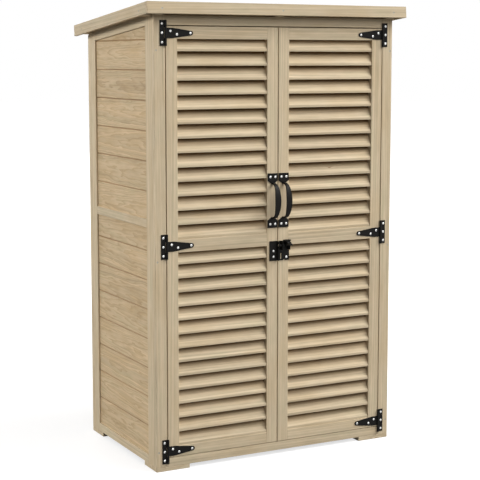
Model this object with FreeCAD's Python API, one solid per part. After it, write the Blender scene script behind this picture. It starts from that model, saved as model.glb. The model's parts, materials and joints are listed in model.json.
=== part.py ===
# Two-door garden storage cabinet of softwood: louvred doors on T-hinges, boarded
# walls between stiles and rails, and a single-pitch roof that falls to the back.
# Millimetres. X runs right along the front, Y runs to the back, Z is up.
# The origin is on the ground, at the middle of the roof's outline.

import FreeCAD, Part
import math
import os

from FreeCAD import Vector

# Overall size
body_width = 946.0
body_depth = 598.0
overall_height = 1600.0

# Feet and floor
foot_height = 14.5
foot_width = 126.0
foot_depth = 105.0
floor_rail_height = 30.0
floor_rail_thickness = 22.0
floor_board_thickness = 12.0
floor_board_pitch = 98.0
floor_board_gap = 2.0

# Front frame
post_width = 41.0
post_thickness = 22.0
lintel_height = 33.0
stop_strip_thickness = 16.0
stop_strip_overlap = 14.0

# Side and back walls
wall_thickness = 22.0
wall_stile_width = 48.0
wall_bottom_rail = 30.0
wall_middle_rail_z = 841.0
wall_middle_rail = 29.0
wall_top_rail = 28.0
wall_board_thickness = 10.0
wall_board_pitch = 102.3
wall_board_recess = 6.0
wall_board_chamfer = 2.5
wall_groove_depth = 8.0
tongue_thickness = 3.0
tongue_height = 5.0

# Shelves
shelf_heights = (430.0, 790.0, 1150.0)
shelf_board_width = 92.0
shelf_board_thickness = 12.0
shelf_board_count = 5
shelf_setback = 48.0
shelf_bearer_width = 34.0
shelf_bearer_height = 18.0
batten_width = 20.0
batten_height = 28.0

# Roof panel, built flat and laid at the roof angle
roof_angle = 5.4
roof_side_overhang = 37.5
roof_front_overhang = 36.0
roof_back_overhang = 46.0
fascia_height = 40.0
fascia_thickness = 12.0
rear_fascia_height = 30.0
felt_thickness = 2.0
felt_below_fascia = 1.0
roof_board_thickness = 10.0
roof_board_pitch = 94.0
rafter_width = 28.0
rafter_inset = 17.0
purlin_inset = 34.0

# Doors
door_thickness = 28.0
door_foot_gap = 2.0
door_side_gap = 3.0
door_top_gap = 3.3
meeting_gap = 3.0
door_stile = 42.0
door_top_rail = 42.0
door_bottom_rail = 38.5
door_middle_rail_z = 758.0
door_middle_rail = 45.0
tenon_length = 25.0
tenon_thickness = 10.0
tenon_shoulder = 8.0
door_stop_gap = 0.6

# Louvre slats
slat_pitch_wanted = 48.7
slat_top_lip = 41.0
slat_angle = 60.5
slat_thickness = 8.0
slat_lip = 8.5
slat_setback = 2.0
slat_housing = 6.0

# T-hinges
hinge_top_drop = 22.5
hinge_bottom_rise = 22.5
hinge_plate = 2.0
knuckle_radius = 4.0
knuckle_flats = 8
pin_radius = 2.45
leaf_height = 85.0
leaf_reach = 21.0
leaf_screw_offset = 12.7
leaf_screw_spread = 31.0
strap_reach = 102.0
strap_root_height = 34.4
strap_straight = 26.0
strap_tip_height = 15.5
strap_screws = ((18.0, 6.5), (41.7, -4.8), (91.7, 0.0))

# Pull handles
handle_length = 192.0
handle_above_rail = 115.5
handle_from_edge = 20.6
handle_plate_width = 40.0
handle_plate_length = 26.0
handle_plate_taper = 11.0
handle_neck_width = 9.0
handle_plate_thickness = 3.0
handle_grip_width = 22.0
handle_projection = 46.0
handle_leg_height = 8.0
handle_corner_radius = 32.0
handle_grip_thickness = 5.0
handle_neck_overlap = 4.0
handle_screw_spread = 19.6
handle_screw_inset = 13.0

# Latch; "forward" is measured from the doors' face and "edge" from a door's free edge
latch_below_rail = 18.5
latch_height = 70.0
latch_plate = 2.5
keeper_width = 32.0
keeper_edge = 0.5
keeper_flange_depth = 14.0
keeper_eye_wall = 3.2
keeper_screw_drop = 20.5
case_width = 41.0
case_edge = 2.5
case_slot_inset = 5.5
case_slot_width = 5.0
case_slot_rise = 5.0
case_slot_height = 21.0
case_notch_radius = 5.0
case_notch_drop = 2.0
case_screw_inset = 11.5
case_screw_rise = 11.0
case_screw_drop = 6.0
cheek_height = 32.0
cheek_depth = 20.0
cheek_inset = 5.0
bolt_radius = 4.0
bolt_forward = 13.0
bolt_below_top = 15.0
bolt_throw = 10.0
bolt_nose_gap = 2.8
bolt_eye_clearance = 1.6
tab_reach = 20.0
tab_back = 5.0
tab_crown = 3.5
tab_tip_rise = 9.0
tab_tip_radius = 3.5
tab_tip_angle = 50.0
tab_head_height = 3.5
tab_head_depth = 14.0
tab_head_spread = 5.0

# Screws
screw_flats = 6
pan_head_radius = 4.1
pan_head_height = 2.2
sunk_head_radius = 3.6
sunk_head_height = 1.2
sunk_below_face = 0.5
shank_radius = 1.6
plate_hole_radius = 2.1
pan_screw_length = 16.0
sunk_screw_length = 34.0
post_screw_inset = 8.5
post_screw_low = 68.0
post_screw_middle = 730.0
post_screw_top_drop = 116.0

# Clearances
running_clearance = 0.05
joint_clearance = 0.2
end_clearance = 0.5

# Derived places in plan
half_width = body_width / 2
roof_width = body_width + 2 * roof_side_overhang
roof_depth = roof_front_overhang + body_depth + roof_back_overhang
front = -roof_depth / 2 + roof_front_overhang
back = front + body_depth
door_back = front + door_thickness
inner_front = front + post_thickness
inner_back = back - wall_thickness
door_hinge_edge = -half_width + post_width + door_side_gap
door_free_edge = -meeting_gap / 2
hinge_x = -half_width + post_width + door_side_gap / 2
hinge_y = front - knuckle_radius

# Derived heights
slope = math.radians(roof_angle)
roof_edge_y = -roof_depth / 2 + fascia_height * math.sin(slope)
roof_length = (roof_depth - fascia_height * math.sin(slope)) / math.cos(slope)
frame_bottom = foot_height


def roof_z(y, depth_below=fascia_height):
    """Height of the plane that lies depth_below under the roof's top plane."""
    return overall_height - (y - roof_edge_y) * math.tan(slope) - depth_below / math.cos(slope)


lintel_bottom = roof_z(front) - lintel_height
sill_top = frame_bottom + floor_rail_height
door_bottom = sill_top + door_foot_gap
door_top = lintel_bottom - door_top_gap
door_middle_top = door_middle_rail_z + door_middle_rail
lower_opening = (door_bottom + door_bottom_rail, door_middle_rail_z)
upper_opening = (door_middle_top, door_top - door_top_rail)
hinge_heights = (
    door_bottom + hinge_bottom_rise,
    door_middle_rail_z + door_middle_rail / 2,
    door_top - hinge_top_drop,
)
handle_z = door_middle_top + handle_above_rail
handle_x = door_free_edge - handle_from_edge
latch_z = door_middle_rail_z - latch_below_rail
latch_top = latch_z + latch_height / 2
latch_low = latch_z - latch_height / 2
bolt_z = latch_top - bolt_below_top
tab_rise = bolt_below_top + end_clearance
post_screw_heights = (
    post_screw_low,
    post_screw_middle,
    roof_z(front) - post_screw_top_drop,
)


# Basic shapes

def box(x0, x1, y0, y1, z0, z1):
    return Part.makeBox(x1 - x0, y1 - y0, z1 - z0, Vector(x0, y0, z0))


def face_of(points):
    return Part.Face(Part.makePolygon(points + [points[0]]))


def prism_x(outline, x0, x1):
    """A (y, z) outline, extruded from x0 to x1."""
    face = face_of([Vector(x0, y, z) for y, z in outline])
    return face.extrude(Vector(x1 - x0, 0, 0))


def prism_y(outline, y0, y1):
    """An (x, z) outline, extruded from y0 to y1."""
    face = face_of([Vector(x, y0, z) for x, z in outline])
    return face.extrude(Vector(0, y1 - y0, 0))


def rod(radius, start, direction, length):
    return Part.makeCylinder(radius, length, Vector(*start), Vector(*direction))


def fused(first, *others):
    shape = first
    for other in others:
        shape = shape.fuse(other)
    return shape.removeSplitter()


def cut_by(shape, tools):
    for tool in tools:
        shape = shape.cut(tool)
    return shape


def mirrored(shapes):
    """The same pieces on the other side of the cabinet's middle plane."""
    return [shape.mirror(Vector(0, 0, 0), Vector(1, 0, 0)) for shape in shapes]


# Screws, hinge knuckles and hinge pins are small and many, so they are drawn with a few flats

def faceted_rod(radius, start, direction, length, flats=screw_flats):
    angles = [2 * math.pi * (index + 0.5) / flats for index in range(flats)]
    ring = [Vector(radius * math.cos(angle), radius * math.sin(angle), 0) for angle in angles]
    shape = face_of(ring).extrude(Vector(0, 0, length))
    turn = FreeCAD.Rotation(Vector(0, 0, 1), Vector(*direction))
    shape.Placement = FreeCAD.Placement(Vector(*start), turn)
    return shape


def moved(place, direction, distance):
    """The point at a distance from place along direction."""
    return tuple(a + distance * b for a, b in zip(place, direction))


def pan_screw(place, inward, length=pan_screw_length):
    """A pan-head screw whose head sits on the metal at place."""
    head = faceted_rod(pan_head_radius, moved(place, inward, -pan_head_height), inward, pan_head_height)
    shank = faceted_rod(shank_radius, place, inward, length)
    return fused(head, shank)


def plate_hole(place, inward):
    """The clearance hole of a pan-head screw in a metal plate."""
    start = moved(place, inward, -1.0)
    return faceted_rod(plate_hole_radius, start, inward, handle_plate_thickness + 2.0)


def sunk_screw(place, inward, length=sunk_screw_length):
    """A screw whose head lies in a pocket, just below the wood's face at place."""
    seat = moved(place, inward, sunk_below_face)
    head = faceted_rod(sunk_head_radius, seat, inward, sunk_head_height)
    shank = faceted_rod(shank_radius, moved(seat, inward, sunk_head_height), inward, length)
    return fused(head, shank)


def sunk_pocket(place, inward):
    depth = sunk_below_face + sunk_head_height
    radius = sunk_head_radius + joint_clearance
    return faceted_rod(radius, moved(place, inward, -1.0), inward, depth + 1.0)


# Screw places, each as a point on the surface

def leaf_screw_places():
    return [
        (hinge_x - leaf_screw_offset, front - hinge_plate, z + step * leaf_screw_spread)
        for z in hinge_heights
        for step in (-1, 0, 1)
    ]


def strap_screw_places():
    return [
        (hinge_x + reach, front - hinge_plate, z + rise)
        for z in hinge_heights
        for reach, rise in strap_screws
    ]


def handle_screw_places():
    rise = handle_length / 2 - handle_screw_inset
    return [
        (handle_x + side * handle_screw_spread / 2, front - handle_plate_thickness, handle_z + end * rise)
        for end in (-1, 1)
        for side in (-1, 1)
    ]


def keeper_screw_places():
    x = door_free_edge - keeper_edge - keeper_width / 2
    y = front - latch_plate
    return [(x, y, latch_z), (x, y, latch_z - keeper_screw_drop)]


def case_screw_places():
    """A low screw, and a high one that the drawn bolt's tab covers."""
    x = case_span()[1] - case_screw_inset
    y = front - latch_plate
    return [(x, y, latch_low + case_screw_rise), (x, y, latch_top - case_screw_drop)]


def post_screw_places():
    return [(-half_width + post_screw_inset, front, z) for z in post_screw_heights]


def plate_holes(places):
    return [plate_hole(place, (0, 1, 0)) for place in places]


def sunk_pockets(places, inward=(0, 1, 0)):
    return [sunk_pocket(place, inward) for place in places]


def mirrored_places(places):
    return [(-x, y, z) for x, y, z in places]


# Feet and floor

def foot_blocks():
    feet = []
    for y0 in (front, back - foot_depth):
        left = box(-half_width, -half_width + foot_width, y0, y0 + foot_depth, 0, foot_height)
        feet += [left] + mirrored([left])
    return feet


def front_sill():
    """The rail under the doors, from post to post, as thick as the doors."""
    x0 = -half_width + post_width
    return [box(x0, -x0, front, door_back + door_stop_gap, frame_bottom, sill_top)]


def floor_rails():
    """Front, middle and back rails; the first lies against the sill."""
    x0 = -half_width + wall_thickness
    first = door_back + door_stop_gap
    last = inner_back - floor_rail_thickness
    places = (first, (first + last) / 2, last)
    return [box(x0, -x0, y, y + floor_rail_thickness, frame_bottom, sill_top) for y in places]


def floor_boards():
    """Boards from front to back, whose front ends stop the doors."""
    x0 = -half_width + wall_thickness
    y0 = door_back + door_stop_gap
    z0 = sill_top
    span = -2 * x0
    count = round(span / floor_board_pitch)
    pitch = span / count
    return [
        box(
            x0 + index * pitch + floor_board_gap / 2,
            x0 + (index + 1) * pitch - floor_board_gap / 2,
            y0,
            inner_back,
            z0,
            z0 + floor_board_thickness,
        )
        for index in range(count)
    ]


# Tongued boards, drawn across their thickness (t) and height (z)

def board_outline(z0, z1, groove_below):
    """Outer face at t = 0. A V is planed on the outer corners and a tongue stands on top."""
    v = wall_board_chamfer
    back_face = wall_board_thickness
    tongue_in = (wall_board_thickness - tongue_thickness) / 2 + 1.0
    tongue_out = tongue_in + tongue_thickness
    slack = joint_clearance
    if groove_below:
        bottom = [
            (0.0, z0 + v),
            (v, z0),
            (tongue_in - slack, z0),
            (tongue_in - slack, z0 + tongue_height + end_clearance),
            (tongue_out + slack, z0 + tongue_height + end_clearance),
            (tongue_out + slack, z0),
            (back_face, z0),
        ]
    else:
        bottom = [(0.0, z0), (back_face, z0)]
    top = [
        (back_face, z1),
        (tongue_out, z1),
        (tongue_out, z1 + tongue_height),
        (tongue_in, z1 + tongue_height),
        (tongue_in, z1),
        (v, z1),
        (0.0, z1 - v),
    ]
    return bottom + top


def board_levels(lowest, highest):
    """Lower and upper edge of each board in a stack that starts in the bottom rail's groove."""
    start = frame_bottom + wall_bottom_rail
    levels = []
    index = 0
    while start + index * wall_board_pitch < highest:
        z0 = start + index * wall_board_pitch
        z1 = z0 + wall_board_pitch
        if z1 > lowest:
            levels.append((z0 if index else z0 - wall_groove_depth, z1, index > 0))
        index += 1
    return levels


def fitted_boards(make_board, regions, least_height=12.0):
    """The boards of a stack, cut to each panel that the rails leave open."""
    pieces = []
    for region in regions:
        limits = region.BoundBox
        for z0, z1, groove_below in board_levels(limits.ZMin, limits.ZMax):
            seen = min(z1, limits.ZMax) - max(z0, limits.ZMin)
            if seen < least_height:
                continue
            piece = make_board(z0, z1, groove_below).common(region)
            pieces += [solid for solid in piece.Solids if solid.BoundBox.ZLength > least_height]
    return pieces


# Side walls, modelled on the left and mirrored

def side_top_rail_z(y):
    """Lower edge of the sloping top rail."""
    return roof_z(y) - wall_top_rail


def sloped_piece(x0, x1, y0, y1, z0):
    """An upright piece whose top follows the underside of the roof."""
    outline = [(y0, z0), (y1, z0), (y1, roof_z(y1)), (y0, roof_z(y0))]
    return prism_x(outline, x0, x1)


def side_groove(slack):
    """The space that the boards take inside the stiles and rails, as two regions."""
    x0 = -half_width + wall_board_recess - slack
    x1 = -half_width + wall_board_recess + wall_board_thickness + slack
    reach = wall_groove_depth + (end_clearance if slack else 0.0)
    y0 = inner_front + wall_stile_width - reach
    y1 = inner_back - wall_stile_width + reach
    low = frame_bottom + wall_bottom_rail - wall_groove_depth
    middle_low = wall_middle_rail_z + reach
    middle_high = wall_middle_rail_z + wall_middle_rail - wall_groove_depth
    lower = box(x0, x1, y0, y1, low, middle_low)
    outline = [
        (y0, middle_high),
        (y1, middle_high),
        (y1, side_top_rail_z(y1) + reach),
        (y0, side_top_rail_z(y0) + reach),
    ]
    return [lower, prism_x(outline, x0, x1)]


def side_front_stile():
    y0 = inner_front
    stile = sloped_piece(-half_width, -half_width + wall_thickness, y0, y0 + wall_stile_width, frame_bottom)
    return [cut_by(stile, side_groove(joint_clearance))]


def side_back_stile():
    y1 = inner_back
    stile = sloped_piece(-half_width, -half_width + wall_thickness, y1 - wall_stile_width, y1, frame_bottom)
    return [cut_by(stile, side_groove(joint_clearance))]


def side_span():
    return inner_front + wall_stile_width, inner_back - wall_stile_width


def side_top_rail():
    y0, y1 = side_span()
    outline = [
        (y0, side_top_rail_z(y0)),
        (y1, side_top_rail_z(y1)),
        (y1, roof_z(y1)),
        (y0, roof_z(y0)),
    ]
    rail = prism_x(outline, -half_width, -half_width + wall_thickness)
    return [cut_by(rail, side_groove(joint_clearance))]


def side_rails():
    """Bottom and middle rail."""
    y0, y1 = side_span()
    x0 = -half_width
    x1 = x0 + wall_thickness
    bottom = box(x0, x1, y0, y1, frame_bottom, frame_bottom + wall_bottom_rail)
    middle = box(x0, x1, y0, y1, wall_middle_rail_z, wall_middle_rail_z + wall_middle_rail)
    return [cut_by(rail, side_groove(joint_clearance)) for rail in (bottom, middle)]


def side_boards():
    outer = -half_width + wall_board_recess
    y0, y1 = side_span()

    def make_board(z0, z1, groove_below):
        outline = [(outer + t, z) for t, z in board_outline(z0, z1, groove_below)]
        return prism_y(outline, y0 - wall_groove_depth, y1 + wall_groove_depth)

    return fitted_boards(make_board, side_groove(0.0))


# Back wall

def back_top_rail_z():
    return roof_z(back) - wall_top_rail


def back_span():
    return -half_width + wall_stile_width, half_width - wall_stile_width


def back_groove(slack):
    """The space that the boards take inside the back stiles and rails."""
    reach = wall_groove_depth + (end_clearance if slack else 0.0)
    x0, x1 = back_span()
    y1 = back - wall_board_recess + slack
    y0 = back - wall_board_recess - wall_board_thickness - slack
    low = frame_bottom + wall_bottom_rail - wall_groove_depth
    middle_high = wall_middle_rail_z + wall_middle_rail - wall_groove_depth
    lower = box(x0 - reach, x1 + reach, y0, y1, low, wall_middle_rail_z + reach)
    upper = box(x0 - reach, x1 + reach, y0, y1, middle_high, back_top_rail_z() + reach)
    return [lower, upper]


def back_stiles():
    stile = sloped_piece(-half_width, -half_width + wall_stile_width, inner_back, back, frame_bottom)
    stile = cut_by(stile, back_groove(joint_clearance))
    return [stile] + mirrored([stile])


def back_rails():
    x0, x1 = back_span()
    bottom = box(x0, x1, inner_back, back, frame_bottom, frame_bottom + wall_bottom_rail)
    middle_top = wall_middle_rail_z + wall_middle_rail
    middle = box(x0, x1, inner_back, back, wall_middle_rail_z, middle_top)
    top = sloped_piece(x0, x1, inner_back, back, back_top_rail_z())
    return [cut_by(rail, back_groove(joint_clearance)) for rail in (bottom, middle, top)]


def back_boards():
    outer = back - wall_board_recess
    x0, x1 = back_span()

    def make_board(z0, z1, groove_below):
        outline = [(outer - t, z) for t, z in board_outline(z0, z1, groove_below)]
        return prism_x(outline, x0 - wall_groove_depth, x1 + wall_groove_depth)

    return fitted_boards(make_board, back_groove(0.0))


# Front frame

def front_post():
    post = sloped_piece(-half_width, -half_width + post_width, front, inner_front, frame_bottom)
    return [cut_by(post, sunk_pockets(post_screw_places()))]


def lintel():
    x0 = -half_width + post_width
    return [sloped_piece(x0, -x0, front, inner_front, lintel_bottom)]


def door_stop():
    """A strip behind the lintel that the tops of the doors close against."""
    x0 = -half_width + post_width
    y0 = door_back + door_stop_gap
    y1 = y0 + stop_strip_thickness
    z1 = roof_z(y1) - joint_clearance
    strip = box(x0, -x0, y0, y1, door_top - stop_strip_overlap, z1)
    filler = box(x0, -x0, inner_front, y0, lintel_bottom, z1)
    return [fused(strip, filler)]


# Shelves

def batten_top(shelf_z):
    return shelf_z - shelf_board_thickness - shelf_bearer_height


def shelf_battens():
    x0 = -half_width + wall_thickness
    y0 = door_back + door_stop_gap
    left = [
        box(x0, x0 + batten_width, y0, inner_back, batten_top(z) - batten_height, batten_top(z))
        for z in shelf_heights
    ]
    return left + mirrored(left)


def shelf(shelf_z):
    """Boards along the width on two bearers, which rest on the battens."""
    x0 = -half_width + wall_thickness + joint_clearance
    y0 = door_back + shelf_setback
    y1 = inner_back - joint_clearance
    pitch = (y1 - y0 - shelf_board_width) / (shelf_board_count - 1)
    boards = [
        box(
            x0,
            -x0,
            y0 + index * pitch,
            y0 + index * pitch + shelf_board_width,
            shelf_z - shelf_board_thickness,
            shelf_z,
        )
        for index in range(shelf_board_count)
    ]
    z1 = shelf_z - shelf_board_thickness
    bearer = box(x0, x0 + shelf_bearer_width, y0, y1, z1 - shelf_bearer_height, z1)
    return boards + [bearer] + mirrored([bearer])


# Roof panel

def lay_on_slope(shape):
    """Move a piece from the flat panel, whose top front edge is the X axis, to its place."""
    placed = shape.copy()
    placed.rotate(Vector(0, 0, 0), Vector(1, 0, 0), -roof_angle)
    placed.translate(Vector(0, roof_edge_y, overall_height))
    return placed


def roof_box(x0, x1, s0, s1, depth0, depth1):
    """A box of the roof panel: s runs down the slope, depth is below the top plane."""
    return lay_on_slope(box(x0, x1, s0, s1, -depth1, -depth0))


def rafter_depths():
    top = felt_below_fascia + felt_thickness + roof_board_thickness
    return top, fascia_height


def rafter_middles():
    return (-half_width + rafter_inset, 0.0, half_width - rafter_inset)


def purlin_middles():
    """Distances down the slope, so that each purlin lies over the side walls' stiles."""
    first = roof_front_overhang + purlin_inset
    last = roof_front_overhang + body_depth - purlin_inset
    return [distance / math.cos(slope) for distance in (first, last)]


def rafters():
    """Three rafters, notched from below over the purlins; behind the wall they are less deep."""
    top, bottom = rafter_depths()
    half = (top + bottom) / 2
    wall_end = (roof_front_overhang + body_depth) / math.cos(slope)
    pieces = []
    for x in rafter_middles():
        rafter = roof_box(
            x - rafter_width / 2,
            x + rafter_width / 2,
            fascia_thickness,
            roof_length - fascia_thickness,
            top,
            bottom,
        )
        notches = [
            roof_box(
                x - rafter_width,
                x + rafter_width,
                s - rafter_width / 2,
                s + rafter_width / 2,
                half,
                bottom + 1.0,
            )
            for s in purlin_middles()
        ]
        under_tail = roof_box(
            x - rafter_width,
            x + rafter_width,
            wall_end,
            roof_length,
            rear_fascia_height,
            bottom + 1.0,
        )
        pieces.append(cut_by(rafter, notches + [under_tail]))
    return pieces


def purlins():
    """Two purlins across the roof, notched from above under the rafters."""
    top, bottom = rafter_depths()
    half = (top + bottom) / 2
    edge = roof_width / 2 - fascia_thickness
    pieces = []
    for s in purlin_middles():
        s0 = s - rafter_width / 2
        s1 = s + rafter_width / 2
        purlin = roof_box(-edge, edge, s0, s1, top, bottom)
        notches = [
            roof_box(
                x - rafter_width / 2,
                x + rafter_width / 2,
                s0 - 1.0,
                s1 + 1.0,
                top - 1.0,
                half,
            )
            for x in rafter_middles()
        ]
        pieces.append(cut_by(purlin, notches))
    return pieces


def roof_boards():
    edge = roof_width / 2 - fascia_thickness
    depth = felt_below_fascia + felt_thickness
    s0 = fascia_thickness
    span = roof_length - 2 * fascia_thickness
    count = round(span / roof_board_pitch)
    pitch = span / count
    return [
        roof_box(
            -edge,
            edge,
            s0 + index * pitch,
            s0 + (index + 1) * pitch,
            depth,
            depth + roof_board_thickness,
        )
        for index in range(count)
    ]


def roof_felt():
    edge = roof_width / 2 - fascia_thickness
    depth = felt_below_fascia
    return [
        roof_box(-edge, edge, fascia_thickness, roof_length - fascia_thickness, depth, depth + felt_thickness)
    ]


def on_slope(x, s, depth):
    """A point of the flat panel, in its place on the slope."""
    y = roof_edge_y + s * math.cos(slope) - depth * math.sin(slope)
    z = overall_height - s * math.sin(slope) - depth * math.cos(slope)
    return (x, y, z)


def front_fascia_screw_places():
    top, bottom = rafter_depths()
    return [on_slope(x, 0.0, (top + bottom) / 2 - 4.0) for x in rafter_middles()]


def down_slope():
    return (0, math.cos(slope), -math.sin(slope))


def side_fascia_screw_places():
    return [
        on_slope(-roof_width / 2, s, fascia_height / 2 + 4.0)
        for s in purlin_middles()
    ]


def front_fascia():
    board = roof_box(-roof_width / 2, roof_width / 2, 0.0, fascia_thickness, 0.0, fascia_height)
    return [cut_by(board, sunk_pockets(front_fascia_screw_places(), down_slope()))]


def side_fascia():
    x0 = -roof_width / 2
    board = roof_box(x0, x0 + fascia_thickness, fascia_thickness, roof_length, 0.0, fascia_height)
    return [cut_by(board, sunk_pockets(side_fascia_screw_places(), (1, 0, 0)))]


def rear_fascia():
    edge = roof_width / 2 - fascia_thickness
    return [roof_box(-edge, edge, roof_length - fascia_thickness, roof_length, 0.0, rear_fascia_height)]


def frame_screws():
    """Sunk screws of the posts and the fascias."""
    posts = post_screw_places()
    screws = [sunk_screw(place, (0, 1, 0)) for place in posts + mirrored_places(posts)]
    screws += [sunk_screw(place, down_slope()) for place in front_fascia_screw_places()]
    sides = side_fascia_screw_places()
    screws += [sunk_screw(place, (1, 0, 0)) for place in sides]
    screws += [sunk_screw(place, (-1, 0, 0)) for place in mirrored_places(sides)]
    return screws


# Door joinery, modelled on the left door and mirrored

def door_rail_levels():
    return (
        (door_bottom, lower_opening[0]),
        (door_middle_rail_z, door_middle_top),
        (upper_opening[1], door_top),
    )


def tenons(z0, z1, extra=0.0):
    """Both tenons of a door rail; extra deepens the mortises past their ends."""
    y0 = front + (door_thickness - tenon_thickness) / 2
    x0 = door_hinge_edge + door_stile
    x1 = door_free_edge - door_stile
    low = z0 + tenon_shoulder
    high = z1 - tenon_shoulder
    reach = tenon_length + extra
    return [
        box(x0 - reach, x0, y0, y0 + tenon_thickness, low, high),
        box(x1, x1 + reach, y0, y0 + tenon_thickness, low, high),
    ]


def slat_lips(opening):
    """Height of each slat's front lip, evenly spaced up the opening."""
    low, high = opening
    rise = high - low - slat_top_lip
    spaces = round(rise / slat_pitch_wanted)
    return [low + index * rise / spaces for index in range(spaces + 1)]


def slat_outline(lip_z, slack=0.0):
    """A slat's section: a plumb lip at the front, a sloping board and a plumb back edge."""
    run = math.tan(math.radians(slat_angle))
    plumb = slat_thickness / math.cos(math.radians(slat_angle))
    plumb_slack = slack / math.cos(math.radians(slat_angle))
    y0 = front + slat_setback
    y1 = door_back - slat_setback

    def upper_z(y):
        return lip_z + slat_lip + (y - y0) * run + plumb_slack

    def lower_z(y):
        return upper_z(y) - plumb - 2 * plumb_slack

    foot_y = y0 - slack + (lip_z - slack - lower_z(y0 - slack)) / run
    return [
        (y0 - slack, lip_z - slack),
        (y0 - slack, upper_z(y0 - slack)),
        (y1 + slack, upper_z(y1 + slack)),
        (y1 + slack, lower_z(y1 + slack)),
        (foot_y, lip_z - slack),
    ]


def slats_in(opening, x0, x1, slack=0.0):
    """The slats of one panel; the top one is cut off under the rail."""
    low, high = opening
    reach = box(x0, x1, front, door_back, low - slack, high + slack)
    pieces = []
    for lip_z in slat_lips(opening):
        slat = prism_x(slat_outline(lip_z, slack), x0, x1)
        pieces.append(slat.common(reach))
    return pieces


def slat_span():
    x0 = door_hinge_edge + door_stile - slat_housing
    x1 = door_free_edge - door_stile + slat_housing
    return x0, x1


def slat_housings():
    x0, x1 = slat_span()
    x0 -= joint_clearance
    x1 += joint_clearance
    tools = slats_in(lower_opening, x0, x1, joint_clearance)
    return tools + slats_in(upper_opening, x0, x1, joint_clearance)


def door_stile_at(x0):
    stile = box(x0, x0 + door_stile, front, door_back, door_bottom, door_top)
    mortises = []
    for z0, z1 in door_rail_levels():
        mortises += tenons(z0, z1, end_clearance)
    return [cut_by(stile, mortises + slat_housings())]


def hinge_stile():
    return door_stile_at(door_hinge_edge)


def meeting_stile():
    return door_stile_at(door_free_edge - door_stile)


def door_rail(index):
    z0, z1 = door_rail_levels()[index]
    x0 = door_hinge_edge + door_stile
    x1 = door_free_edge - door_stile
    return [fused(box(x0, x1, front, door_back, z0, z1), *tenons(z0, z1))]


def door_slats(opening):
    x0, x1 = slat_span()
    return slats_in(opening, x0, x1)


# T-hinges, modelled for the left door and mirrored

def knuckle(z0, z1):
    """A barrel round the pin and its bore, whose flats clear the pin."""
    bore_radius = (pin_radius + running_clearance) / math.cos(math.pi / knuckle_flats)
    barrel = faceted_rod(knuckle_radius, (hinge_x, hinge_y, z0), (0, 0, 1), z1 - z0, knuckle_flats)
    bore = faceted_rod(bore_radius, (hinge_x, hinge_y, z0 - 1), (0, 0, 1), z1 - z0 + 2, knuckle_flats)
    return barrel, bore


def hinge_leaf(z):
    """The plate on the post, with a knuckle above and one below the strap."""
    root = hinge_x - knuckle_radius - 0.6
    plate = box(
        hinge_x - leaf_reach,
        root,
        front - hinge_plate,
        front,
        z - leaf_height / 2,
        z + leaf_height / 2,
    )
    half = leaf_height / 2
    inner = strap_root_height / 2 + joint_clearance
    bores = []
    parts = []
    for z0, z1 in ((z - half, z - inner), (z + inner, z + half)):
        barrel, bore = knuckle(z0, z1)
        tab = box(root - 2.0, hinge_x, front - hinge_plate, front, z0, z1)
        parts += [barrel, tab]
        bores.append(bore)
    leaf = cut_by(fused(plate, *parts), bores)
    places = [place for place in leaf_screw_places() if abs(place[2] - z) < leaf_height / 2]
    return cut_by(leaf, plate_holes(places))


def hinge_leaves():
    leaves = [hinge_leaf(z) for z in hinge_heights]
    return leaves + mirrored(leaves)


def strap_outline(z):
    """Straight at the root, then a long taper that ends in a round tip."""
    root = hinge_x + knuckle_radius + 0.6
    high = strap_root_height / 2
    tip = strap_tip_height / 2
    tip_middle = hinge_x + strap_reach - tip
    points = [
        Vector(root, front, z - high),
        Vector(hinge_x + strap_straight, front, z - high),
        Vector(tip_middle, front, z - tip),
        Vector(tip_middle + tip, front, z),
        Vector(tip_middle, front, z + tip),
        Vector(hinge_x + strap_straight, front, z + high),
        Vector(root, front, z + high),
    ]
    edges = [
        Part.makeLine(points[0], points[1]),
        Part.makeLine(points[1], points[2]),
        Part.Arc(points[2], points[3], points[4]).toShape(),
        Part.makeLine(points[4], points[5]),
        Part.makeLine(points[5], points[6]),
        Part.makeLine(points[6], points[0]),
    ]
    return Part.Face(Part.Wire(edges))


def hinge_strap(z):
    """The long tapered plate on the door, with the middle knuckle."""
    plate = strap_outline(z).extrude(Vector(0, -hinge_plate, 0))
    half = strap_root_height / 2
    barrel, bore = knuckle(z - half, z + half)
    tab = box(hinge_x, hinge_x + knuckle_radius + 2.0, front - hinge_plate, front, z - half, z + half)
    strap = fused(plate, barrel, tab).cut(bore)
    places = [place for place in strap_screw_places() if abs(place[2] - z) < strap_root_height / 2]
    return cut_by(strap, plate_holes(places))


def hinge_straps():
    return [hinge_strap(z) for z in hinge_heights]


def hinge_pins():
    pins = [
        faceted_rod(
            pin_radius,
            (hinge_x, hinge_y, z - leaf_height / 2),
            (0, 0, 1),
            leaf_height,
            knuckle_flats,
        )
        for z in hinge_heights
    ]
    return pins + mirrored(pins)


def leaf_screws():
    places = leaf_screw_places()
    return [pan_screw(place, (0, 1, 0)) for place in places + mirrored_places(places)]


# Pull handle, modelled for the left door and mirrored

def handle_plate_half(end):
    """One end plate: full width at its end, tapering to the neck of the grip."""
    wide = handle_plate_width / 2
    neck = handle_neck_width / 2
    tip = end * handle_length / 2
    shoulder = tip - end * handle_plate_length
    root = shoulder - end * handle_plate_taper
    outline = [
        (handle_x - wide, handle_z + tip),
        (handle_x + wide, handle_z + tip),
        (handle_x + wide, handle_z + shoulder),
        (handle_x + neck, handle_z + root),
        (handle_x - neck, handle_z + root),
        (handle_x - wide, handle_z + shoulder),
    ]
    return prism_y(outline, front - handle_plate_thickness, front)


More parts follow.
